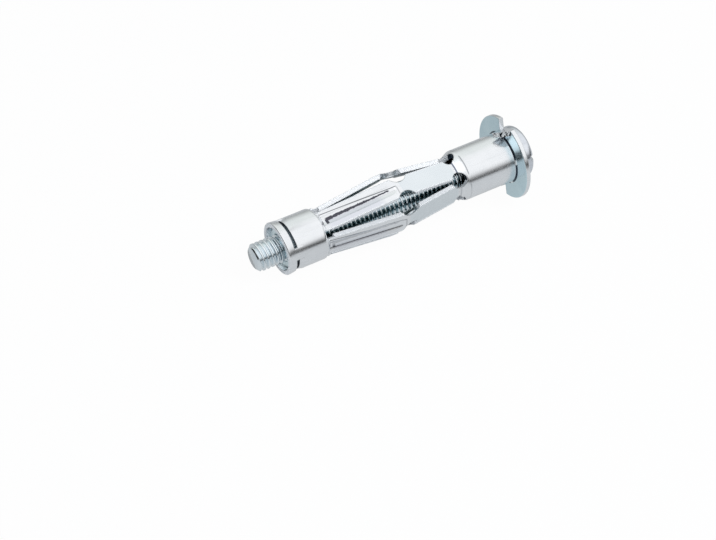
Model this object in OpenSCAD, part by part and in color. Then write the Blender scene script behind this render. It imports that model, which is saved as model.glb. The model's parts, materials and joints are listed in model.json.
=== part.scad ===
// Hollow wall anchor for thin board, with its machine screw, lying on a flat surface.
// Millimetres, +Z up. Every piece is drawn about the anchor's own axis, with z = 0 on
// the back of the flange and +z into the wall, and lay_down() then sets the whole anchor
// on the floor: tail towards -X, screw head towards +X.

/* [Sleeve] */
// Length from the back of the flange to the tail end
sleeve_l = 53.6; // [51:0.2:60]
// Thickness of the steel sheet
sheet_t = 1; // [0.8:0.05:1.05]
// Outside diameter of the two collars
collar_d = 10.8; // [10.6:0.1:11.4]
// Length of the front collar, measured from the back of the flange
front_collar_l = 11.2; // [9:0.2:13]
// Length of the tail collar, which holds the nut
tail_collar_l = 8.7; // [8.3:0.2:10]
// Length of the slope from the front collar down to the crease
front_slope_l = 2; // [1.6:0.1:2.6]
// Length of the slope from the legs up to the tail collar
tail_slope_l = 1; // [0.8:0.1:1.4]
// Radius of the bends where the collars begin
collar_bend_r = 0.9; // [0.5:0.1:1.2]

/* [Legs] */
// Number of folding legs between the collars
leg_count = 5; // [4:1:5]
// Width of a leg
leg_w = 4.5; // [4:0.1:4.7]
// Distance from the axis to the outer face of a leg at the front crease
crease_reach = 4.3; // [4.25:0.05:4.6]
// Distance from the axis to the outer face of a leg at the tail collar
tail_reach = 4.5; // [4.4:0.05:4.7]
// Distance from the axis to the point where the two halves of a leg meet
elbow_reach = 6.2; // [5.8:0.05:6.8]
// Distance from the back of the flange to the elbow
elbow_z = 28; // [25:0.5:31]
// Radius of the elbow's bend
elbow_r = 14; // [8:1:18]
// Turn of the legs about the axis, measured from the top of the lying anchor
leg_turn = 20; // [0:1:71]

/* [Punched holes] */
// Diameter of the holes that notch the legs next to the elbow
elbow_hole_d = 5.1; // [4.4:0.1:5.5]
// Distance of those holes in front of the elbow
elbow_hole_back = 2.2; // [1:0.1:2.5]
// Diameter of the round slot ends at the front collar
keyhole_d = 3.2; // [2.6:0.1:3.4]
// Width of the square slot ends at the tail collar
slot_w = 1.7; // [1.4:0.1:2.2]

/* [Stiffening groove] */
// Width of the groove pressed into the rear half of each leg
groove_w = 2.2; // [1.6:0.1:2.6]
// Depth of that groove
groove_depth = 0.4; // [0.25:0.05:0.45]

/* [Flange] */
// Diameter of the flange
flange_d = 18.2; // [16.6:0.2:21]
// Radius of the rolled mouth of the bore
mouth_r = 0.8; // [0.4:0.1:0.8]
// Radius of the corner between the flange and the collar
root_r = 0.4; // [0.2:0.1:0.6]
// Radius left on the rim of the flange
rim_r = 0.2; // [0.1:0.05:0.3]

/* [Prongs] */
// Angle between the two corners that a notch leaves in the rim
notch_arc = 28; // [20:1:32]
// Distance from the axis to the inner corner of a notch
notch_r = 6.7; // [6.6:0.1:7.2]

/* [Tail] */
// Widening of the tail collar between the slits and its end, on the radius
tail_flare = 0.25; // [0.1:0.05:0.5]
// Radius of the outer edge at the tail end
end_edge_r = 0.35; // [0.1:0.05:0.5]
// Number of crimping slits round the tail collar
slit_count = 3; // [2:1:3]
// Width of a slit
slit_w = 0.75; // [0.4:0.05:0.9]
// Distance from the tail end to the middle of a slit
slit_back = 2; // [1.7:0.1:2.6]
// Angle that each slit covers
slit_arc = 92; // [70:1:100]
// Turn of the slits about the axis, measured from the top of the lying anchor
slit_turn = 10; // [0:1:119]
// Depth to which the collar is pressed in beside a slit, to hold the nut
crimp_depth = 0.3; // [0.15:0.05:0.4]
// Length of the pressed-in part
crimp_l = 1.2; // [0.8:0.1:1.6]

/* [Nut] */
// Length of the round nut
nut_l = 6.5; // [5:0.25:7]
// Distance from the tail end to the nut's outer face
nut_inset = 0.8; // [0.4:0.1:1]
// Running clearance of the nut in the collar, on the radius
nut_gap = 0.05; // [0.02:0.01:0.1]
// Chamfer on the nut's edges
nut_chamfer = 0.4; // [0.2:0.05:0.6]

/* [Screw] */
// Outside diameter of the thread
screw_d = 5.9; // [5.6:0.1:6]
// Length under the head
screw_l = 60; // [56:1:75]
// Running clearance of the screw in the nut, on the radius
thread_gap = 0.05; // [0.02:0.01:0.1]
// Diameter of the plain neck under the head
neck_d = 5.3; // [4.8:0.1:5.5]
// Length of that neck
neck_l = 2; // [1:0.25:4]
// Length of the chamfer at the tip
tip_chamfer = 0.7; // [0.4:0.1:1]
// Diameter of the head
head_d = 11.4; // [11:0.1:14]
// Height of the head
head_h = 4.2; // [3.8:0.1:5]
// Height of the crown above the head's edge
crown_h = 1.1; // [0.6:0.1:1.4]
// Radius of the head's edge
head_edge_r = 1.6; // [0.8:0.1:2]

/* [Drive recess] */
// Turn of the cross and the slot about the axis
drive_turn = 20; // [0:5:175]
// Length of the cross recess over its wings, at the top
cross_w = 6.4; // [5.4:0.1:7]
// Depth of the cross recess
cross_depth = 2.8; // [2:0.1:3]
// Thickness of a wing
wing_t = 1.1; // [0.8:0.05:1.3]
// Width of the straight slot across the head
driver_slot_w = 1.2; // [1:0.05:1.6]
// Depth of that slot below the top of the crown
driver_slot_depth = 1.7; // [1.3:0.1:2]

/* [Hidden] */
$fn = 56;

zinc = "#c9d3da";
zinc_blue = "#b9c7d2";
past = 1; // how far a cutting shape runs past what it cuts
arc_steps = 6; // straight pieces in a rounded profile corner
buried = 0.06; // how far a leg's face lies under the slope that carries it

collar_r = collar_d / 2;
bore_r = collar_r - sheet_t;
flange_r = flange_d / 2;
screw_r = screw_d / 2;
crease_z = front_collar_l + front_slope_l;
tail_collar_z = sleeve_l - tail_collar_l;
tail_slope_z = tail_collar_z - tail_slope_l;
leg_pitch = 360 / leg_count;
slit_pitch = 360 / slit_count;
slot_end = tail_slope_l * 0.7; // how far a slot runs up the tail slope
front_slope = atan((collar_r - crease_reach - buried) / front_slope_l);
tail_slope = atan((collar_r - tail_reach - buried) / tail_slope_l);
rear_slope = atan((elbow_reach - tail_reach) / (tail_slope_z - elbow_z));
rear_l = norm([elbow_reach - tail_reach, tail_slope_z - elbow_z]);
groove_r = (pow(groove_w / 2, 2) + pow(groove_depth, 2)) / (2 * groove_depth);
nut_z = sleeve_l - nut_inset - nut_l;
slit_z = sleeve_l - slit_back;
tail_r = collar_r + tail_flare;
head_z = -sheet_t;
tip_z = head_z + screw_l;
tip_r = screw_r - tip_chamfer;
// Corners of a notch: its inner one, the end of the cut that frees the prong and the end
// of its fold, with the direction of the fold
notch_inner = notch_r * [cos(notch_arc / 2), sin(notch_arc / 2)];
notch_cut = flange_r * [cos(notch_arc / 2), sin(notch_arc / 2)];
notch_fold = flange_r * [cos(notch_arc / 2), -sin(notch_arc / 2)];
fold_line = notch_fold - notch_inner;
fold_turn = atan2(fold_line.y, fold_line.x);

// At rest the flange stands on the two corners of its lower notch and the tail collar
// on its end
rim_drop = flange_r * cos(notch_arc / 2);
rest_tilt = atan((rim_drop - tail_r) / (sleeve_l - end_edge_r));
rest_lift = rim_drop * cos(rest_tilt);
tip_reach = tip_z * cos(rest_tilt) + tip_r * sin(rest_tilt);
head_reach = (head_h - head_z) * cos(rest_tilt);
rest_shift = (tip_reach - head_reach) / 2;

// The arc that rounds the corner b between a and c, as points from a's side to c's side
function rounded(a, b, c, r) =
    let (u = (a - b) / norm(a - b), v = (c - b) / norm(c - b), half = acos(u * v) / 2)
    let (centre = b + (u + v) / norm(u + v) * r / sin(half))
    let (from = b + u * r / tan(half) - centre, to = b + v * r / tan(half) - centre)
    let (start = atan2(from.y, from.x), turn = atan2(to.y, to.x) - start)
    let (sweep = turn > 180 ? turn - 360 : turn < -180 ? turn + 360 : turn)
    [for (i = [0:arc_steps]) let (a = start + sweep * i / arc_steps) centre + r * [cos(a), sin(a)]];

// A line of points moved sideways by t, to the right of its direction
function beside(line, t) =
    [for (i = [0:len(line) - 1])
        let (back = line[i] - line[max(i - 1, 0)], on = line[min(i + 1, len(line) - 1)] - line[i])
        let (d1 = norm(back) > 0 ? back / norm(back) : on / norm(on))
        let (d2 = norm(on) > 0 ? on / norm(on) : d1)
        let (n1 = [d1.y, -d1.x], n2 = [d2.y, -d2.x])
        line[i] + t * (n1 + n2) / (1 + n1 * n2)];

function reversed(line) = [for (i = [len(line) - 1:-1:0]) line[i]];

// A strip of sheet whose one face follows the line
function strip(line) = concat(line, reversed(beside(line, sheet_t)));

// ---- Sleeve: flange, collars, legs and prongs, all pressed from one sheet ----

// Flange, mouth, front collar and the slope down to the crease: points are [radius, z]
module front_shell() {
    collar_end = [collar_r, front_collar_l];
    slope_end = [crease_reach + buried, crease_z + buried];
    root = [collar_r, 0];
    rim_back = [flange_r, 0];
    rim_front = [flange_r, -sheet_t];
    mouth = [bore_r, -sheet_t];
    inner = beside([[collar_r, 0], collar_end, slope_end], -sheet_t);
    rotate_extrude() polygon(concat(
        rounded(rim_front, rim_back, root, rim_r),
        rounded(rim_back, root, collar_end, root_r),
        rounded(root, collar_end, slope_end, collar_bend_r),
        [slope_end],
        [inner[2], inner[1]],
        rounded(inner[1], mouth, rim_front, mouth_r),
        rounded(mouth, rim_front, rim_back, rim_r)));
}

// Slope up from the legs, tail collar and its flared end
module tail_shell() {
    slope_start = [tail_reach + buried, tail_slope_z];
    collar_start = [collar_r, tail_collar_z];
    flare_start = [collar_r, slit_z];
    end = [tail_r, sleeve_l];
    end_inside = [tail_r - sheet_t, sleeve_l];
    inner = beside([slope_start, collar_start, flare_start, end], -sheet_t);
    rotate_extrude() polygon(concat(
        [slope_start],
        rounded(slope_start, collar_start, flare_start, collar_bend_r),
        [flare_start],
        rounded(flare_start, end, end_inside, end_edge_r),
        [end_inside],
        [inner[2], inner[1], inner[0]]));
}

// Side view of a leg as [z, distance from the axis], buried in both slopes at its ends
function leg_side() =
    let (crease = [crease_z, crease_reach], elbow = [elbow_z, elbow_reach])
    let (tail = [tail_slope_z, tail_reach], front_end = front_slope_l * 0.4, tail_end = tail_slope_l / 2)
    concat(
        [crease + front_end * [-1, tan(front_slope)], crease],
        rounded(crease, elbow, tail, elbow_r),
        [tail, tail + tail_end * [1, tan(tail_slope)]]);

// Frame on the outer face of a leg's rear half: x outwards, z from the elbow to the tail
module on_rear_half() {
    translate([elbow_reach, 0, elbow_z]) rotate([0, -rear_slope, 0]) children();
}

// Round-nosed bar whose surface lies r from the groove's axis
module groove_bar(r) {
    nose = groove_w / 2 - elbow_hole_back / 2;
    side = [for (a = [-90:15:0]) r * [cos(a), sin(a)]];
    translate([groove_r - groove_depth, 0, nose])
        rotate_extrude() polygon(concat(side, [[r, rear_l - nose], [0, rear_l - nose]]));
}

module leg() {
    ridge_w = leg_w - 2 * groove_depth;
    difference() {
        union() {
            rotate([0, -90, -90])
                linear_extrude(height = leg_w, center = true) polygon(strip(leg_side()));
            on_rear_half() intersection() {
                groove_bar(groove_r + sheet_t);
                translate([-sheet_t * 2, -ridge_w / 2, -past])
                    cube([sheet_t * 1.5, ridge_w, rear_l]);
            }
        }
        on_rear_half() groove_bar(groove_r);
    }
}

// Radial hole through the wall at height z, begun just where neighbouring holes part
module punched(z, d) {
    from = 1.01 * d / 2 / sin(leg_pitch / 2);
    translate([0, 0, z]) rotate([0, 90, 0]) translate([0, 0, from]) cylinder(h = flange_r, d = d);
}

// The triangle of the flange that is cut free on one side and folded up as a prong
module notch_shape() {
    polygon([notch_inner, 2 * notch_cut, notch_inner + 2 * fold_line]);
}

module prong_notch() {
    translate([0, 0, -sheet_t - past]) linear_extrude(height = sheet_t + 2 * past) notch_shape();
}

// That triangle turned up along its fold, with a foot that is sunk in the flange
module prong() {
    foot = sheet_t / 2;
    translate(notch_inner) rotate([0, 0, fold_turn]) rotate([90, 0, 0])
        linear_extrude(height = sheet_t) union() {
            rotate(-fold_turn) translate(-notch_inner) intersection() {
                circle(r = flange_r);
                notch_shape();
            }
            translate([0, -foot]) square([norm(fold_line) - foot, foot]);
        }
}

// Turns a [radius, z] profile about the axis over the arc of one slit
module along_slit(points) {
    rotate([0, 0, -slit_arc / 2]) rotate_extrude(angle = slit_arc) polygon(points);
}

// Slit through the collar, with the dent in front of it where the collar is pressed in
module slit_and_dent() {
    inside = bore_r - crimp_depth - past;
    outside = tail_r + past;
    low = slit_z - slit_w / 2;
    high = slit_z + slit_w / 2;
    along_slit([[inside, high], [inside, low], [collar_r - crimp_depth, low],
        [collar_r + crimp_depth, low - 2 * crimp_l], [outside, low - 2 * crimp_l], [outside, high]]);
}

// The same dent's bulge on the inside of the collar
module crimp_bulge() {
    low = slit_z - slit_w / 2;
    buried_r = bore_r + sheet_t / 2;
    along_slit([[buried_r, low - crimp_l], [bore_r, low - crimp_l], [bore_r - crimp_depth, low],
        [buried_r, low]]);
}

module sleeve() {
    color(zinc) lay_down() {
        difference() {
            union() {
                front_shell();
                tail_shell();
                for (i = [0:leg_count - 1]) rotate([0, 0, -leg_turn + i * leg_pitch]) leg();
                for (i = [0:slit_count - 1]) rotate([0, 0, -slit_turn + i * slit_pitch]) crimp_bulge();
            }
            for (i = [0:leg_count - 1]) rotate([0, 0, -leg_turn + (i + 0.5) * leg_pitch]) {
                punched(crease_z, keyhole_d);
                punched(elbow_z - elbow_hole_back, elbow_hole_d);
                translate([0, -slot_w / 2, tail_slope_z - past])
                    cube([flange_r, slot_w, slot_end + past]);
            }
            for (i = [0:slit_count - 1]) rotate([0, 0, -slit_turn + i * slit_pitch]) slit_and_dent();
            for (turn = [0, 180]) rotate([0, 0, turn]) prong_notch();
        }
        for (turn = [0, 180]) rotate([0, 0, turn]) prong();
    }
}

// ---- Nut: held in the tail collar by the crimps, which reach into its groove ----

module nut() {
    nut_r = bore_r - nut_gap;
    groove_floor = nut_r - crimp_depth;
    groove_low = slit_z - nut_z - slit_w / 2 - crimp_l;
    groove_high = slit_z - nut_z + slit_w / 2;
    hole_r = screw_r + thread_gap;
    color(zinc_blue) lay_down() translate([0, 0, nut_z]) difference() {
        rotate_extrude() polygon([[0, 0], [nut_r - nut_chamfer, 0], [nut_r, nut_chamfer],
            [nut_r, groove_low], [groove_floor, groove_low + crimp_depth],
            [groove_floor, groove_high], [nut_r, groove_high], [nut_r, nut_l - nut_chamfer],
            [nut_r - nut_chamfer, nut_l], [0, nut_l]]);
        translate([0, 0, -past]) cylinder(h = nut_l + 2 * past, r = hole_r);
    }
}

// ---- Screw ----

// Cross recess: two tapered wings, narrower at the bottom
module cross_recess() {
    bottom_w = cross_w * 0.45;
    for (a = [45, 135]) rotate([90, 0, a]) linear_extrude(height = wing_t, center = true)
        polygon([[-cross_w / 2, -past], [cross_w / 2, -past], [cross_w / 2, 0],
            [bottom_w / 2, cross_depth], [-bottom_w / 2, cross_depth], [-cross_w / 2, 0]]);
}

module screw() {
    head_r = head_d / 2;
    top_z = head_z - head_h;
    crown_r = (pow(head_r, 2) + pow(crown_h, 2)) / (2 * crown_h);
    edge_a = asin((head_r - head_edge_r) / crown_r);
    crown = [for (i = [0:arc_steps]) let (a = edge_a * i / arc_steps)
        [crown_r * sin(a), top_z + crown_r * (1 - cos(a))]];
    shoulder = [head_r, top_z + crown_h];
    seat = [head_r, head_z];
    color(zinc) lay_down() difference() {
        rotate_extrude() polygon(concat(
            crown,
            rounded(crown[arc_steps], shoulder, seat, head_edge_r * 0.8),
            [seat, [neck_d / 2, head_z]],
            [[neck_d / 2, head_z + neck_l], [screw_r, head_z + neck_l + screw_r - neck_d / 2]],
            [[screw_r, tip_z - tip_chamfer], [tip_r, tip_z], [0, tip_z]]));
        translate([0, 0, top_z]) rotate([0, 0, drive_turn]) {
            cross_recess();
            translate([-driver_slot_w / 2, -head_d / 2 - past, -past])
                cube([driver_slot_w, head_d + 2 * past, driver_slot_depth + past]);
        }
    }
}

// Turns the anchor's axis from +z to -X, lowers its tail and lifts it onto the floor
module lay_down() {
    translate([rest_shift, 0, rest_lift]) rotate([0, -90 - rest_tilt, 0]) children();
}

sleeve();
nut();
screw();
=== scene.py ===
import json
import math
import random

import bmesh
import bpy
from mathutils import Matrix, Vector


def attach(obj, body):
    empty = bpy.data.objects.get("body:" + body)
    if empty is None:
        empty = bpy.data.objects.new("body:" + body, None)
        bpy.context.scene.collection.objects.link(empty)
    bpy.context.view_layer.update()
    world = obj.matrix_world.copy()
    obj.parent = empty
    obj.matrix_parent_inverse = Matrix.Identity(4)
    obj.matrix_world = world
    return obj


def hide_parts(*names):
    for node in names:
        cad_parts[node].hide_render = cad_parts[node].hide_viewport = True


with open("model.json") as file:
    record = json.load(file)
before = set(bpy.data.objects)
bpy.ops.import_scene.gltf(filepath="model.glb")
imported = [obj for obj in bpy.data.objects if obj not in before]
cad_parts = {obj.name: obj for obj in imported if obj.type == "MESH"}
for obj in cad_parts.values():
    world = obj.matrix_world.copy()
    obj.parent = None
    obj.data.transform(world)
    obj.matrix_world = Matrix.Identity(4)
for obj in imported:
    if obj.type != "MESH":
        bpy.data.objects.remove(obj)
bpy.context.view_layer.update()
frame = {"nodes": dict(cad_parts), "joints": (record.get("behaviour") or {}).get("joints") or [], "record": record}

# ---- Sizes: lengths in metres, turns in degrees ----

MM = 0.001

LEGS = 5
LEG_STEP = 360 / LEGS
LEG_TURN = 20.0

SCREW_L = 60.0 * MM
NECK_L = 2.0 * MM
NECK_R = 2.65 * MM
CREST_R = 2.95 * MM
ROOT_R = 2.38 * MM
PITCH = 1.0 * MM
TIP_CHAMFER = 0.7 * MM
HEAD_OVERLAP = 0.3 * MM

# Heights on the sleeve, from the back of its flange up to the tail
FLANGE_T = 1.0 * MM
FLANGE_BACK_Z = 0.05 * MM
COLLAR_LINE_Z = (0.0, 0.3 * MM)
PRONG_Z = (0.1 * MM, 4 * MM)
INSIDE_Z = (8 * MM, 50 * MM)
SLOT_Z = (11 * MM, 46 * MM)
KEYHOLE_TOP_Z = 15 * MM
LEG_Z = (12.3 * MM, 45 * MM)
ELBOW_Z = (24 * MM, 30 * MM)
SLIT_Z = 51.6 * MM
SLIT_W = 0.75 * MM

# Distances from the axis
COLLAR_LINE_R = (5.4 * MM, 5.9 * MM)
FLANGE_INNER_R = 5.75 * MM
PRONG_R = 5.9 * MM

# Where painted shade and painted highlights lie on the press's bends, folds and grooves: heights on the sleeve,
# and places across a leg from its middle
BEND_Z = (10.85 * MM, 11.2 * MM)
BEND_ACROSS = (-2.8 * MM, 2.1 * MM)
BEAD_ACROSS = (2.9 * MM, 3.9 * MM)
CREASE_Z = (12.75 * MM, 13.15 * MM)
PANEL_Z = (13.4 * MM, 26.2 * MM)
HIGHLIGHT_Z = (14.0 * MM, 45.0 * MM)
HIGHLIGHT_FROM, HIGHLIGHT_FULL = 1.98 * MM, 2.08 * MM
GROOVE_START, GROOVE_END = 27.0 * MM, 44.4 * MM
FOLD_Z = (28.5 * MM, 43.3 * MM)
FOLD_ACROSS = 0.24 * MM
FOLD_END_Z = (42.6 * MM, 43.3 * MM)
FOLD_END_ACROSS = (-0.9 * MM, 0.4 * MM)
LOWER_WALL_Z = (30.0 * MM, 44.2 * MM)
LOWER_WALL_ACROSS = (-2.05 * MM, 0.0)
UPPER_EDGE_Z = (26.8 * MM, 44.2 * MM)
UPPER_EDGE_HALF_W = 0.12 * MM
FRONT_EDGE_Z = (26.75 * MM, 27.1 * MM)
FRONT_EDGE_ACROSS = (-1.5 * MM, 0.5 * MM)

# Along the screw, where x falls towards its tip: the mouth of the tail, and the start of the tip
MOUTH_X = (-54.0 * MM, -50.0 * MM)
TIP_X = (-58.8 * MM, -58.0 * MM)

# The thread's profile, as shares of half a pitch: a flat root, then the flank, and the rest is crest
ROOT_SHARE = 0.2
FLANK_SHARE = 0.52

# Cosines that tell the faces of the sleeve apart by the way they face
SIDE_ON = 0.15
KEYHOLE_SHADE = 0.2
INWARD = -0.5
ENDWISE = 0.7
SQUARELY = 0.8

MERGE = 2e-6
CRISP_EDGE = 32.0

# ---- Where the anchor lies: its axis runs from the flange's back to the tail ----

mounts = {m["name"]: m for m in frame["record"]["mounts"]}
withdraw = Vector(frame["joints"][0]["axis"])
to_tail = -withdraw.normalized()
up = to_tail.cross(Vector((0, 1, 0))).normalized()
if up.z < 0:
    up = -up
face = Vector(mounts["wall_face"]["pos_m"])
origin = Vector((face.x, 0, face.z))
tilt = math.atan2(-to_tail.z, -to_tail.x)
lay_down = Matrix((
    (up.x, 0, to_tail.x, origin.x),
    (up.y, 1, to_tail.y, origin.y),
    (up.z, 0, to_tail.z, origin.z),
    (0, 0, 0, 1)))
stand_up = lay_down.inverted()


# ---- Parts of a node tree ----

def node(tree, kind, inputs=None, **settings):
    made = tree.nodes.new(kind)
    for key, value in settings.items():
        setattr(made, key, value)
    for key, value in (inputs or {}).items():
        if isinstance(value, bpy.types.NodeSocket):
            tree.links.new(value, made.inputs[key])
        else:
            made.inputs[key].default_value = value
    return made


def maths(tree, operation, *values):
    return node(tree, "ShaderNodeMath", dict(enumerate(values)), operation=operation).outputs[0]


def times(tree, *values):
    product = values[0]
    for value in values[1:]:
        product = maths(tree, "MULTIPLY", product, value)
    return product


def distance(tree, x, y):
    return maths(tree, "SQRT", maths(
        tree, "ADD", maths(tree, "POWER", x, 2.0), maths(tree, "POWER", y, 2.0)))


def linear_step(tree, value, low, high, from_value=0.0, to_value=1.0, easing="LINEAR"):
    return node(tree, "ShaderNodeMapRange", {
        "Value": value, "From Min": low, "From Max": high,
        "To Min": from_value, "To Max": to_value}, interpolation_type=easing).outputs["Result"]


def smooth_step(tree, value, low, high, from_value=0.0, to_value=1.0):
    return linear_step(tree, value, low, high, from_value, to_value, "SMOOTHSTEP")


def smooth_fall(tree, value, low, high):
    return smooth_step(tree, value, low, high, 1.0, 0.0)


def between(tree, value, span, soft, soft_end=None):
    """1 inside a span, fading to 0 at its two ends."""
    low, high = span
    return times(tree,
                 smooth_step(tree, value, low, maths(tree, "ADD", low, soft)),
                 smooth_fall(tree, value, maths(tree, "SUBTRACT", high, soft_end or soft), high))


def around(tree, middle, half):
    return maths(tree, "SUBTRACT", middle, half), maths(tree, "ADD", middle, half)


def noise_on(tree, place, scale, detail, roughness):
    return node(tree, "ShaderNodeTexNoise", {
        "Vector": place, "Scale": scale, "Detail": detail, "Roughness": roughness}).outputs["Fac"]


def blended(tree, share, a, b, blend="MIX"):
    """Colour b laid over colour a; each is three numbers or a socket."""
    colours = {key: (*value, 1) if isinstance(value, tuple) else value
               for key, value in (("A", a), ("B", b))}
    return node(tree, "ShaderNodeMix", {"Factor": share, **colours},
                data_type="RGBA", blend_type=blend).outputs["Result"]


# ---- Where a finish is on its piece ----

def along_axis(tree, squeeze):
    """Object coordinates turned so that x runs along the anchor, and squeezed to draw patterns out."""
    place = node(tree, "ShaderNodeTexCoord").outputs["Object"]
    turned = node(tree, "ShaderNodeMapping", {
        "Vector": place, "Location": (-origin.x, 0, -origin.z)}, vector_type="POINT")
    return node(tree, "ShaderNodeMapping", {
        "Vector": turned.outputs["Vector"], "Rotation": (0, tilt, 0), "Scale": (squeeze, 1, 1)},
        vector_type="POINT").outputs["Vector"]


def on_sheet(tree):
    """The sleeve's own map, in metres: the way along the axis and the way across the leg."""
    place = node(tree, "ShaderNodeSeparateXYZ", {
        "Vector": node(tree, "ShaderNodeUVMap", uv_map="sheet").outputs["UV"]}).outputs
    return place["X"], place["Y"]


def facing_up(tree):
    """1 where the sheet faces up, falling to 0.3 on its underside, which mirrors the pale floor."""
    normal = node(tree, "ShaderNodeSeparateXYZ", {
        "Vector": node(tree, "ShaderNodeNewGeometry").outputs["Normal"]}).outputs
    return smooth_step(tree, normal["Z"], 0.0, 0.5, 0.3, 1.0)


# ---- Painted shade and painted highlights on the zinc: each is a share of the surface and the colour that it takes there ----

# Colour of the painted shade lines along the folds of a leg's groove
PAINTED_LINE_SHADE = (0.10, 0.11, 0.12)


def painted_fold_shade(tree, even, along, across, groove):
    """Painted shade along the fold in the middle of a leg's groove, wider towards its end, where it turns down."""
    shift = maths(tree, "MULTIPLY_ADD", noise_on(tree, even, 1900.0, 2.0, 0.6), 0.5 * MM, -0.25 * MM)
    ragged = maths(tree, "ADD", across, shift)
    half = maths(tree, "MULTIPLY_ADD", groove, 0.22 * MM, 0.16 * MM)
    fold = times(tree, between(tree, ragged, around(tree, FOLD_ACROSS, half), 0.05 * MM),
                 between(tree, along, FOLD_Z, 0.5 * MM))
    end = times(tree, between(tree, along, FOLD_END_Z, 0.1 * MM),
                between(tree, ragged, FOLD_END_ACROSS, 0.1 * MM))
    return maths(tree, "MAXIMUM", fold, end)


def leg_painted_shade(tree, even):
    """Painted shade on a leg: a darker tone on its front panel and on the lower wall of its groove, fine dark
    lines along the groove's edges, a ragged dark line along the fold in it, and a dark crease where the leg leaves
    the collar."""
    along, across = on_sheet(tree)
    up_side = facing_up(tree)
    groove = linear_step(tree, along, GROOVE_START, GROOVE_END)
    panel = between(tree, along, PANEL_Z, 0.3 * MM)
    lower_wall = times(tree, between(tree, across, LOWER_WALL_ACROSS, 0.1 * MM),
                       between(tree, along, LOWER_WALL_Z, 2.0 * MM))
    edge_at = maths(tree, "MULTIPLY_ADD", groove, 1.05 * MM, 0.50 * MM)
    upper_edge = times(
        tree, between(tree, across, around(tree, edge_at, UPPER_EDGE_HALF_W), 0.06 * MM),
        between(tree, along, UPPER_EDGE_Z, 0.3 * MM))
    front_edge = times(tree, between(tree, along, FRONT_EDGE_Z, 0.08 * MM),
                       between(tree, across, FRONT_EDGE_ACROSS, 0.3 * MM))
    fold = painted_fold_shade(tree, even, along, across, groove)
    crease = between(tree, along, CREASE_Z, 0.1 * MM)
    return ((times(tree, panel, 0.5), (0.69, 0.775, 0.82)),
            (times(tree, lower_wall, up_side, 0.5), (0.62, 0.65, 0.75)),
            (times(tree, upper_edge, 0.85), PAINTED_LINE_SHADE),
            (times(tree, front_edge, 0.4), PAINTED_LINE_SHADE),
            (times(tree, fold, up_side, 0.93), (0.03, 0.03, 0.05)),
            (times(tree, crease, up_side, 0.85), (0.05, 0.07, 0.12)))


def leg_edge_highlights(tree):
    """Painted highlight along the long cut edges of a leg: a bright white line."""
    along, across = on_sheet(tree)
    return times(tree, smooth_step(tree, maths(tree, "ABSOLUTE", across), HIGHLIGHT_FROM, HIGHLIGHT_FULL),
                 between(tree, along, HIGHLIGHT_Z, 0.5 * MM))


def painted_bend_shade(tree, even):
    """Painted shade along the thin bend where the slope of each leg meets the collar, weaker where the sheet faces
    down.
    """
    along, across = on_sheet(tree)
    bend = times(tree, between(tree, along, BEND_Z, 0.1 * MM),
                 between(tree, across, BEND_ACROSS, 0.4 * MM), facing_up(tree))
    return ((times(tree, bend, 0.6), (0.12, 0.14, 0.16)),)


def collar_line_glints(tree, even):
    """Painted highlights: bright beads that break the painted shade of the line between the flange and its collar.
    """
    across = on_sheet(tree)[1]
    ragged = maths(tree, "MULTIPLY_ADD", noise_on(tree, even, 1500.0, 1.0, 0.5), 1.6 * MM, across)
    return ((between(tree, ragged, BEAD_ACROSS, 0.15 * MM), (0.88, 0.95, 0.98)),)


def torn_glints(tree, even):
    """Painted glints on torn zinc: near-black patches that leave bright specks between them."""
    return ((smooth_fall(tree, noise_on(tree, even, 2000.0, 1.0, 0.5), 0.44, 0.49),
             (0.02, 0.03, 0.04)),)


def painted_root_shade(tree, even):
    """Painted shade in the roots of the thread: dark inside the sleeve, climbing furthest up the flanks just above
    the screw's sides and least on its top, only a tint where the screw comes out, and none at its tip.
    """
    way_out = node(tree, "ShaderNodeSeparateXYZ", {"Vector": even}).outputs
    radius = distance(tree, way_out["Y"], way_out["Z"])
    height = linear_step(tree, radius, ROOT_R + 0.04 * MM, CREST_R - 0.03 * MM)
    rise = maths(tree, "DIVIDE", way_out["Z"], radius)
    reach = times(tree, smooth_step(tree, rise, 0.30, 0.62, 1.2, 0.10),
                  smooth_step(tree, rise, 0.08, 0.28, 0.35, 1.0))
    deep = smooth_step(tree, maths(tree, "SUBTRACT", reach, height), 0.0, 0.25)
    inside = smooth_step(tree, way_out["X"], *MOUTH_X, 0.1, 0.8)
    before_tip = smooth_step(tree, way_out["X"], *TIP_X)
    return ((times(tree, deep, inside, before_tip), (0.07, 0.19, 0.23)),)


# ---- Finishes ----

NOISE_SPAN = (0.3, 0.7)
# Colour of the painted highlight on the legs' cut edges, and how much of the metal it takes away
EDGE_HIGHLIGHT = (0.88, 0.89, 0.91)
HIGHLIGHT_DULLS = 0.85
BUMP_DEPTH = 0.03 * MM


def new_material(name):
    material = bpy.data.materials.new(name)
    material.use_nodes = True
    material.node_tree.nodes.clear()
    return material, material.node_tree


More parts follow.
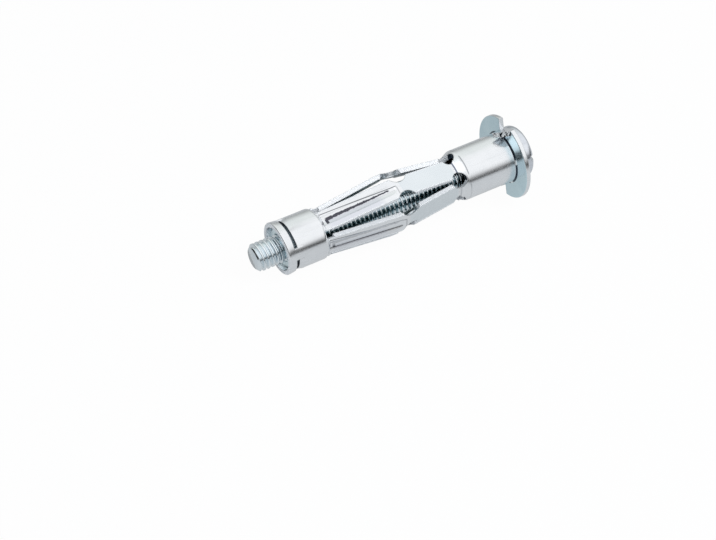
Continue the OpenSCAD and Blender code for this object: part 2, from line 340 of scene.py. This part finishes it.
def zinc(name, pale, deep, rough, streaks, grain=1.0, edge=0.25 * MM, metal=1.0,
         marks=None, edge_highlights=None):
    """Zinc plate: cloudy between two tones, streaked along the axis, with rounded edges."""
    material, tree = new_material(name)
    even = along_axis(tree, 1.0)
    streak = noise_on(tree, along_axis(tree, 0.05), 1500.0, 4.0, 0.6)
    cloud = noise_on(tree, even, 260.0, 3.0, 0.55)
    speck = noise_on(tree, even, 3600.0, 2.0, 0.7)
    colour = blended(tree, linear_step(tree, cloud, *NOISE_SPAN), deep, pale)
    colour = blended(tree, streaks, colour, linear_step(tree, streak, 0.3, 0.5, 0.72, 1.0), "MULTIPLY")
    # Painted shade and painted highlights, laid over the zinc's own tones
    for share, mark_colour in (marks(tree, even) if marks else ()):
        colour = blended(tree, share, colour, mark_colour)
    # Painted highlight: near-white and less metallic where its share is full
    if edge_highlights:
        share = edge_highlights(tree)
        colour = blended(tree, share, colour, EDGE_HIGHLIGHT)
        metal = maths(tree, "MULTIPLY_ADD", share, -HIGHLIGHT_DULLS * metal, metal)
    roughness = maths(tree, "ADD", linear_step(tree, speck, *NOISE_SPAN, *rough),
                      linear_step(tree, streak, *NOISE_SPAN, -0.04, 0.06))
    edges = node(tree, "ShaderNodeBevel", {"Radius": edge}, samples=6)
    bump = node(tree, "ShaderNodeBump", {
        "Strength": 0.1 * grain, "Distance": BUMP_DEPTH,
        "Height": maths(tree, "ADD", streak, speck), "Normal": edges.outputs["Normal"]})
    shader = node(tree, "ShaderNodeBsdfPrincipled", {
        "Base Color": colour, "Metallic": metal, "Roughness": roughness,
        "Normal": bump.outputs["Normal"]})
    node(tree, "ShaderNodeOutputMaterial", {"Surface": shader.outputs["BSDF"]})
    return material


SHEET_PALE, SHEET_DEEP = (0.89, 0.91, 0.935), (0.83, 0.855, 0.885)
# Near-black zinc that is painted shade, on walls deep in shade and in the bend under the flange
PAINTED_SHADE_PALE, PAINTED_SHADE_DEEP = (0.07, 0.10, 0.13), (0.02, 0.03, 0.05)

zinc_sheet = zinc("zinc_sheet", SHEET_PALE, SHEET_DEEP, rough=(0.16, 0.26), streaks=0.2, grain=0.5,
                  marks=painted_bend_shade)
zinc_leg = zinc("zinc_leg", SHEET_PALE, SHEET_DEEP, rough=(0.12, 0.22), streaks=0.12, grain=0.5,
                marks=leg_painted_shade, edge_highlights=leg_edge_highlights)
# Cut faces: rough, and given a near-white, mostly non-metal colour that is painted highlight, keeping them bright
# whichever way they face
sheared_zinc_painted_bright = zinc("sheared_zinc_painted_bright", (0.95, 0.96, 0.98), (0.86, 0.88, 0.91), rough=(0.3, 0.5),
                    streaks=0.1, grain=2.0, metal=0.3)
# The prongs' torn edges: white and mostly non-metal, with painted glints
torn_zinc_glints = zinc("torn_zinc_glints", (1.0, 1.0, 1.0), (0.95, 0.97, 0.98), rough=(0.1, 0.25),
                 streaks=0.0, edge=0.03 * MM, metal=0.3, marks=torn_glints)
zinc_flange = zinc("zinc_flange", (0.68, 0.85, 0.91), (0.60, 0.77, 0.84), rough=(0.08, 0.16),
                   streaks=0.1)
# Painted shade for the walls of the slit and for keyhole walls that don't face up
zinc_painted_shade = zinc("zinc_painted_shade", PAINTED_SHADE_PALE, PAINTED_SHADE_DEEP, rough=(0.3, 0.45), streaks=0.3)
# Painted shade: a near-black line in the bend between the flange and its collar
zinc_collar_line_shade = zinc("zinc_collar_line_shade", PAINTED_SHADE_PALE, PAINTED_SHADE_DEEP, rough=(0.2, 0.35),
                        streaks=0.3, marks=collar_line_glints)
# Painted shade: a darker grey copy of the zinc for the legs' inward faces
zinc_inner_shade = zinc("zinc_inner_shade", (0.40, 0.47, 0.48), (0.26, 0.32, 0.33), rough=(0.2, 0.35),
                  streaks=0.2)
zinc_nut = zinc("zinc_nut", (0.84, 0.97, 1.0), (0.66, 0.80, 0.86), rough=(0.18, 0.32), streaks=0.2)
zinc_thread = zinc("zinc_thread", (0.88, 0.94, 0.97), (0.78, 0.85, 0.90), rough=(0.10, 0.2),
                   streaks=0.15, edge=0.04 * MM, marks=painted_root_shade)
zinc_head = zinc("zinc_head", (0.80, 0.83, 0.88), (0.68, 0.72, 0.78), rough=(0.14, 0.26),
                 streaks=0.3)


# ---- Pieces ----

def put_in_scene(name, data):
    made = bpy.data.objects.new(name, data)
    bpy.context.scene.collection.objects.link(made)
    return made


def merged_copy(cad_node, name):
    """A copy of a CAD node, joined up, with its edges kept crisp and its bends smooth."""
    mesh = frame["nodes"][cad_node].data.copy()
    mesh.name = name
    shape = bmesh.new()
    shape.from_mesh(mesh)
    bmesh.ops.remove_doubles(shape, verts=shape.verts, dist=MERGE)
    for edge in shape.edges:
        edge.smooth = not (len(edge.link_faces) == 2
                           and edge.calc_face_angle() > math.radians(CRISP_EDGE))
    for polygon in shape.faces:
        polygon.smooth = True
    shape.to_mesh(mesh)
    shape.free()
    mesh.materials.clear()
    return put_in_scene(name, mesh)


# ---- Sleeve: the pressed sheet ----

def legs_round(at):
    """How far round the axis a place lies, counted in legs from the middle of the first one."""
    return (math.degrees(math.atan2(at.y, at.x)) + LEG_TURN) / LEG_STEP


def turn_of(legs):
    """The turn, in radians, of a leg's middle, or of a slot's at half a leg more."""
    return math.radians(legs * LEG_STEP - LEG_TURN)


def within(value, span):
    return span[0] < value < span[1]


SHEET, LEG, SHEARED_BRIGHT, TORN_GLINTS, FLANGE, PAINTED_SHADE, INNER_SHADE, COLLAR_LINE_SHADE = range(8)
SLEEVE_FINISHES = (zinc_sheet, zinc_leg, sheared_zinc_painted_bright, torn_zinc_glints, zinc_flange, zinc_painted_shade,
                   zinc_inner_shade, zinc_collar_line_shade)


def sleeve_finish(at, facing):
    """Finish of a face of the sleeve; both vectors stand along the axis, with the tail up."""
    radius = math.hypot(at.x, at.y)
    slot_at = turn_of(math.floor(legs_round(at)) + 0.5)
    beside_slot = abs(facing.x * math.cos(slot_at) + facing.y * math.sin(slot_at)) < SIDE_ON
    # The prongs' torn edges get the painted glints
    if radius > PRONG_R and within(at.z, PRONG_Z):
        return TORN_GLINTS if abs(facing.z) > SIDE_ON else SHEET
    if at.z < FLANGE_BACK_Z and radius > FLANGE_INNER_R and facing.z > ENDWISE:
        return FLANGE
    # The bend between the flange and the collar gets painted shade
    if within(at.z, COLLAR_LINE_Z) and within(radius, COLLAR_LINE_R):
        return COLLAR_LINE_SHADE
    # Slot walls: near the keyholes, those that don't face up get painted shade; the rest get the cut finish
    # painted bright, except at the elbow
    if within(at.z, SLOT_Z) and beside_slot:
        if facing.x < KEYHOLE_SHADE and at.z < KEYHOLE_TOP_Z:
            return PAINTED_SHADE
        return SHEET if within(at.z, ELBOW_Z) else SHEARED_BRIGHT
    # The walls of the slit at the tail get painted shade
    if abs(at.z - SLIT_Z) < 0.51 * SLIT_W and abs(facing.z) > ENDWISE:
        return PAINTED_SHADE
    # The end face of the tail gets the cut finish painted bright
    if at.z > SLIT_Z and facing.z > SQUARELY:
        return SHEARED_BRIGHT
    # Faces that look inwards, inside the sleeve, get painted shade
    if facing.x * at.x + facing.y * at.y < INWARD * radius and within(at.z, INSIDE_Z):
        return INNER_SHADE
    return LEG if within(at.z, LEG_Z) else SHEET


def map_sheet(piece):
    """Lays a map over the sleeve: metres along the axis, and metres across from each leg's middle."""
    layer = piece.data.uv_layers.new(name="sheet")
    corners = [stand_up @ v.co for v in piece.data.vertices]
    for polygon in piece.data.polygons:
        leg_at = turn_of(round(legs_round(stand_up @ polygon.center)))
        for loop in polygon.loop_indices:
            corner = corners[piece.data.loops[loop].vertex_index]
            across = corner.y * math.cos(leg_at) - corner.x * math.sin(leg_at)
            layer.data[loop].uv = (corner.z, across)


def tear(piece, finish, cuts=14, height=0.16 * MM):
    """Breaks a sheared face up into small facets by moving its new corners, mostly inwards."""
    noise = random.Random(7)
    shape = bmesh.new()
    shape.from_mesh(piece.data)
    torn = [e for e in shape.edges if any(f.material_index == finish for f in e.link_faces)]
    bmesh.ops.subdivide_edges(shape, edges=torn, cuts=cuts, use_grid_fill=True)
    shape.normal_update()
    moved = [(v, v.normal.copy()) for v in shape.verts
             if v.link_faces and all(f.material_index == finish for f in v.link_faces)]
    for vert, out in moved:
        vert.co += out * noise.uniform(-1.0, 0.4) * height
    for polygon in shape.faces:
        if polygon.material_index == finish:
            polygon.smooth = False
    shape.to_mesh(piece.data)
    shape.free()


sleeve = merged_copy("sleeve", "sleeve_sheet")
for finish in SLEEVE_FINISHES:
    sleeve.data.materials.append(finish)
for polygon in sleeve.data.polygons:
    polygon.material_index = sleeve_finish(
        stand_up @ polygon.center, stand_up.to_3x3() @ polygon.normal)
tear(sleeve, TORN_GLINTS)
map_sheet(sleeve)
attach(sleeve, "sleeve")
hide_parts("sleeve")

# ---- Nut ----

nut = merged_copy("nut", "nut_body")
nut.data.materials.append(zinc_nut)
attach(nut, "sleeve")
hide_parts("nut")


# ---- Screw: a rolled thread that starts from a plain neck, and the head ----

def thread_tree():
    """Grid of turns and profile steps, wrapped round the axis as one helix."""
    tree = bpy.data.node_groups.new("rolled_thread", "GeometryNodeTree")
    sizes = {"Length": SCREW_L, "Pitch": PITCH, "Crest Radius": CREST_R, "Root Radius": ROOT_R,
             "Neck Radius": NECK_R, "Neck Length": NECK_L, "Tip Chamfer": TIP_CHAMFER}
    steps = {"Steps Round": 56, "Steps Along": 16}
    kinds = {**dict.fromkeys(sizes, "NodeSocketFloat"), **dict.fromkeys(steps, "NodeSocketInt"),
             "Finish": "NodeSocketMaterial"}
    sockets = {name: tree.interface.new_socket(name, in_out="INPUT", socket_type=kind)
               for name, kind in kinds.items()}
    tree.interface.new_socket("Geometry", in_out="OUTPUT", socket_type="NodeSocketGeometry")
    given = tree.nodes.new("NodeGroupInput").outputs

    def m(operation, *values):
        return maths(tree, operation, *values)

    # Each vertex of the grid: its column is a step round the axis, its row a step along it
    round_n, along_n = given["Steps Round"], given["Steps Along"]
    turns = m("CEIL", m("ADD", m("DIVIDE", given["Length"], given["Pitch"]), 1.0))
    rows = m("ADD", m("MULTIPLY", turns, along_n), 2.0)
    grid = node(tree, "GeometryNodeMeshGrid", {
        "Vertices X": m("ADD", round_n, 1.0), "Vertices Y": rows})
    index = tree.nodes.new("GeometryNodeInputIndex").outputs[0]
    column = m("FLOOR", m("DIVIDE", m("ADD", index, 0.5), rows))
    row = m("SUBTRACT", index, m("MULTIPLY", column, rows))
    part = m("DIVIDE", column, round_n)
    angle = m("MULTIPLY", part, math.tau)
    step = m("DIVIDE", row, along_n)
    z_free = m("MULTIPLY", m("SUBTRACT", m("ADD", part, step), 1.0), given["Pitch"])
    z = m("MAXIMUM", m("MINIMUM", z_free, given["Length"]), 0.0)

    # Profile, there and back in each pitch; the nudge keeps a whole step from falling a step short
    wave = m("ABSOLUTE", m("SUBTRACT", m("MULTIPLY", m("FRACT", m("ADD", step, 1e-5)), 2.0), 1.0))
    climb = m("DIVIDE", m("SUBTRACT", wave, ROOT_SHARE), FLANK_SHARE)
    flank = m("MINIMUM", m("MAXIMUM", climb, 0.0), 1.0)
    deep = m("SUBTRACT", given["Crest Radius"], given["Root Radius"])
    thread_r = m("ADD", given["Root Radius"], m("MULTIPLY", flank, deep))
    begun = smooth_step(tree, z, m("SUBTRACT", given["Neck Length"], given["Pitch"]),
                        m("ADD", given["Neck Length"], given["Pitch"]))
    mixed = m("ADD", m("MULTIPLY", thread_r, begun),
              m("MULTIPLY", given["Neck Radius"], m("SUBTRACT", 1.0, begun)))
    tip = m("ADD", m("SUBTRACT", given["Crest Radius"], given["Tip Chamfer"]),
            m("SUBTRACT", given["Length"], z))
    limited = m("MINIMUM", mixed, tip)

    # The first and last rows close the two ends at the axis
    inner = m("MULTIPLY", m("GREATER_THAN", row, 0.5),
              m("LESS_THAN", row, m("SUBTRACT", rows, 1.5)))
    radius = m("MULTIPLY", limited, inner)
    place = node(tree, "ShaderNodeCombineXYZ", {
        "X": m("MULTIPLY", radius, m("COSINE", angle)),
        "Y": m("MULTIPLY", radius, m("SINE", angle)), "Z": z})

    last = grid.outputs["Mesh"]
    for kind, values in (
            ("GeometryNodeSetPosition", {"Position": place.outputs[0]}),
            ("GeometryNodeMergeByDistance", {"Distance": MERGE}),
            ("GeometryNodeSetShadeSmooth", {}),
            ("GeometryNodeRealizeInstances", {}),
            ("GeometryNodeSetMaterial", {"Material": given["Finish"]})):
        last = node(tree, kind, {0: last, **values}).outputs[0]
    node(tree, "NodeGroupOutput", {"Geometry": last})
    return tree, sockets, {**sizes, **steps}


def grown_mesh(name, build, finish, matrix):
    """The plain mesh that a node tree makes, turned into place."""
    tree, sockets, values = build()
    carrier = put_in_scene(name + "_grower", bpy.data.meshes.new(name + "_seed"))
    modifier = carrier.modifiers.new("grow", "NODES")
    modifier.node_group = tree
    for key, value in {**values, "Finish": finish}.items():
        modifier[sockets[key].identifier] = value
    graph = bpy.context.evaluated_depsgraph_get()
    mesh = bpy.data.meshes.new_from_object(carrier.evaluated_get(graph))
    mesh.name = name
    carrier.modifiers.clear()
    bpy.data.objects.remove(carrier)
    mesh.transform(matrix)
    shape = bmesh.new()
    shape.from_mesh(mesh)
    bmesh.ops.recalc_face_normals(shape, faces=shape.faces)
    shape.to_mesh(mesh)
    shape.free()
    return put_in_scene(name, mesh)


def cut_off_shank(piece):
    """Keeps the head and a stub that reaches a little way into the neck, and closes the cut."""
    shape = bmesh.new()
    shape.from_mesh(piece.data)
    cut_at = lay_down @ Vector((0, 0, -FLANGE_T + HEAD_OVERLAP))
    bmesh.ops.bisect_plane(shape, geom=shape.verts[:] + shape.edges[:] + shape.faces[:],
                           plane_co=cut_at, plane_no=to_tail, clear_outer=True)
    bmesh.ops.holes_fill(shape, edges=[e for e in shape.edges if e.is_boundary])
    shape.to_mesh(piece.data)
    shape.free()


shank = grown_mesh("screw_thread", thread_tree, zinc_thread,
                   lay_down @ Matrix.Translation((0, 0, -FLANGE_T)))
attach(shank, "screw")
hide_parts("screw")

head = merged_copy("screw", "screw_head")
cut_off_shank(head)
head.data.materials.append(zinc_head)
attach(head, "screw")
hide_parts("screw")


# ---- Floor ----

FLOOR_HALF = 2


def rays(tree, *kinds):
    """1 for a ray of any of these kinds."""
    seen = node(tree, "ShaderNodeLightPath").outputs
    total = seen[kinds[0]]
    for kind in kinds[1:]:
        total = maths(tree, "ADD", total, seen[kind])
    return maths(tree, "MINIMUM", total, 1.0)


def mixed_shader(tree, share, a, b):
    return node(tree, "ShaderNodeMixShader", {0: share, 1: a.outputs[0], 2: b.outputs[0]})


def floor_finish():
    """White to the eye; to the metal, a painted glow that stands in for the lit floor, fading away from the anchor
    and a little dimmer behind it as painted shade; pale paint to the rest.
    """
    material, tree = new_material("pale_floor")
    paint = node(tree, "ShaderNodeBsdfDiffuse", {"Color": (0.80, 0.81, 0.83, 1)})
    white = node(tree, "ShaderNodeEmission", {"Color": (1, 1, 1, 1), "Strength": 1.0})
    at = node(tree, "ShaderNodeSeparateXYZ", {
        "Vector": node(tree, "ShaderNodeTexCoord").outputs["Object"]}).outputs
    # Painted light on the floor, seen only in the metal: brightest near the anchor, dimmer behind it
    fading = times(tree, smooth_step(tree, distance(tree, at["X"], at["Y"]), 0.05, 0.4, 1.0, 0.3),
                   smooth_step(tree, at["Y"], -0.015, 0.02, 0.66, 0.54))
    glow = node(tree, "ShaderNodeEmission", {"Color": (0.97, 0.99, 1.0, 1), "Strength": fading})
    shown = mixed_shader(tree, times(tree, rays(tree, "Is Camera Ray"), 0.97), paint, white)
    mirrored = mixed_shader(tree, 0.88, paint, glow)
    by_metal = rays(tree, "Is Glossy Ray", "Is Transmission Ray")
    node(tree, "ShaderNodeOutputMaterial", {
        "Surface": mixed_shader(tree, by_metal, shown, mirrored).outputs[0]})
    return material


def flat_piece(name, corners, material):
    mesh = bpy.data.meshes.new(name)
    mesh.from_pydata([(x, y, 0) for x, y in corners], [], [list(range(len(corners)))])
    mesh.materials.append(material)
    piece = put_in_scene(name, mesh)


flat_piece("floor", [(-FLOOR_HALF, -FLOOR_HALF), (FLOOR_HALF, -FLOOR_HALF),
                     (FLOOR_HALF, FLOOR_HALF), (-FLOOR_HALF, FLOOR_HALF)], floor_finish())


# ---- Light ----

TENT_WHITE = 1.03
TENT_DARKEST = 0.03
REST_LIGHT = 0.4
KEY_PLACE, KEY_SIZE, KEY_W = (0.25, -0.3, 0.5), 0.3, 2.2
FILL_PLACE, FILL_SIZE, FILL_W = (-0.4, -0.1, 0.5), 0.4, 0.7


def mirrored_tent(tree, way, back):
    """What the metal mirrors: a white tent, dim along the front and left horizon and at the back,
    with a gap overhead and a glow high on the left."""
    high = maths(tree, "MAXIMUM", way["Z"], 0.05)
    across = maths(tree, "DIVIDE", way["Y"], high)
    along = maths(tree, "DIVIDE", way["X"], high)
    front_low = times(tree, smooth_fall(tree, way["Y"], -0.3, 0.0),
                      smooth_fall(tree, way["Z"], -0.02, 0.55))
    left_low = times(tree, smooth_fall(tree, way["X"], -0.7, -0.4),
                     smooth_fall(tree, way["Z"], 0.40, 0.60))
    low = smooth_fall(tree, way["Z"], 0.0, 0.5)
    gap = times(tree, between(tree, across, (0.10, 0.44), 0.08),
                between(tree, along, (-0.5, 0.30), 0.2, 0.3))
    back_low = times(tree, back, smooth_fall(tree, way["Z"], 0.15, 0.65))
    left_high = times(tree, smooth_fall(tree, way["X"], -0.46, -0.32),
                      smooth_step(tree, way["Z"], 0.62, 0.74))
    tent = TENT_WHITE
    for share, dims_by in ((front_low, 0.95), (left_low, 0.9), (low, 0.2), (gap, 0.2), (back, 0.13),
                           (back_low, 0.25), (left_high, -0.3)):
        tent = maths(tree, "SUBTRACT", tent, times(tree, share, dims_by))
    return maths(tree, "MAXIMUM", tent, TENT_DARKEST)


def studio_world():
    """White to the eye, the tent to the metal, and a soft cool light to the rest."""
    world = bpy.data.worlds.new("studio")
    world.use_nodes = True
    tree = world.node_tree
    tree.nodes.clear()
    way = node(tree, "ShaderNodeSeparateXYZ", {
        "Vector": node(tree, "ShaderNodeTexCoord").outputs["Generated"]}).outputs
    back = smooth_step(tree, way["Y"], 0.1, 0.7)
    glossy = rays(tree, "Is Glossy Ray")
    direct = rays(tree, "Is Camera Ray", "Is Glossy Ray", "Is Transmission Ray")
    by_metal = times(tree, glossy, mirrored_tent(tree, way, back))
    by_eye = rays(tree, "Is Camera Ray", "Is Transmission Ray")
    by_rest = times(tree, maths(tree, "SUBTRACT", 1.0, direct), REST_LIGHT)
    strength = maths(tree, "ADD", maths(tree, "ADD", by_metal, by_eye), by_rest)
    tent_hue = blended(tree, times(tree, back, glossy), (1, 1, 1), (0.97, 1.0, 0.975))
    sky = node(tree, "ShaderNodeBackground", {
        "Color": blended(tree, direct, (0.82, 0.92, 1.0), tent_hue), "Strength": strength})
    node(tree, "ShaderNodeOutputWorld", {"Surface": sky.outputs[0]})
    return world


def lamp(name, place, size, power):
    """A square lamp that shines at the anchor, and that the metal doesn't mirror."""
    data = bpy.data.lights.new(name, "AREA")
    data.shape = "RECTANGLE"
    data.size = data.size_y = size
    data.energy = power
    made = put_in_scene(name, data)
    made.location = place
    made.rotation_euler = (-Vector(place)).to_track_quat("-Z", "Y").to_euler()
    made.visible_glossy = False


bpy.context.scene.world = studio_world()
lamp("key", KEY_PLACE, KEY_SIZE, KEY_W)
lamp("fill", FILL_PLACE, FILL_SIZE, FILL_W)

# ---- Camera ----

lens = bpy.data.cameras.new("camera")
lens.lens = 111.2
lens.sensor_width = 36.0
lens.clip_start = 0.01
camera = put_in_scene("camera", lens)
camera.location = (-0.18838, -0.27922, 0.30623)
camera.rotation_euler = [math.radians(turn) for turn in (46.534, -2.718, -30.43)]
bpy.context.scene.camera = camera
bpy.context.scene.view_settings.view_transform = "Standard"
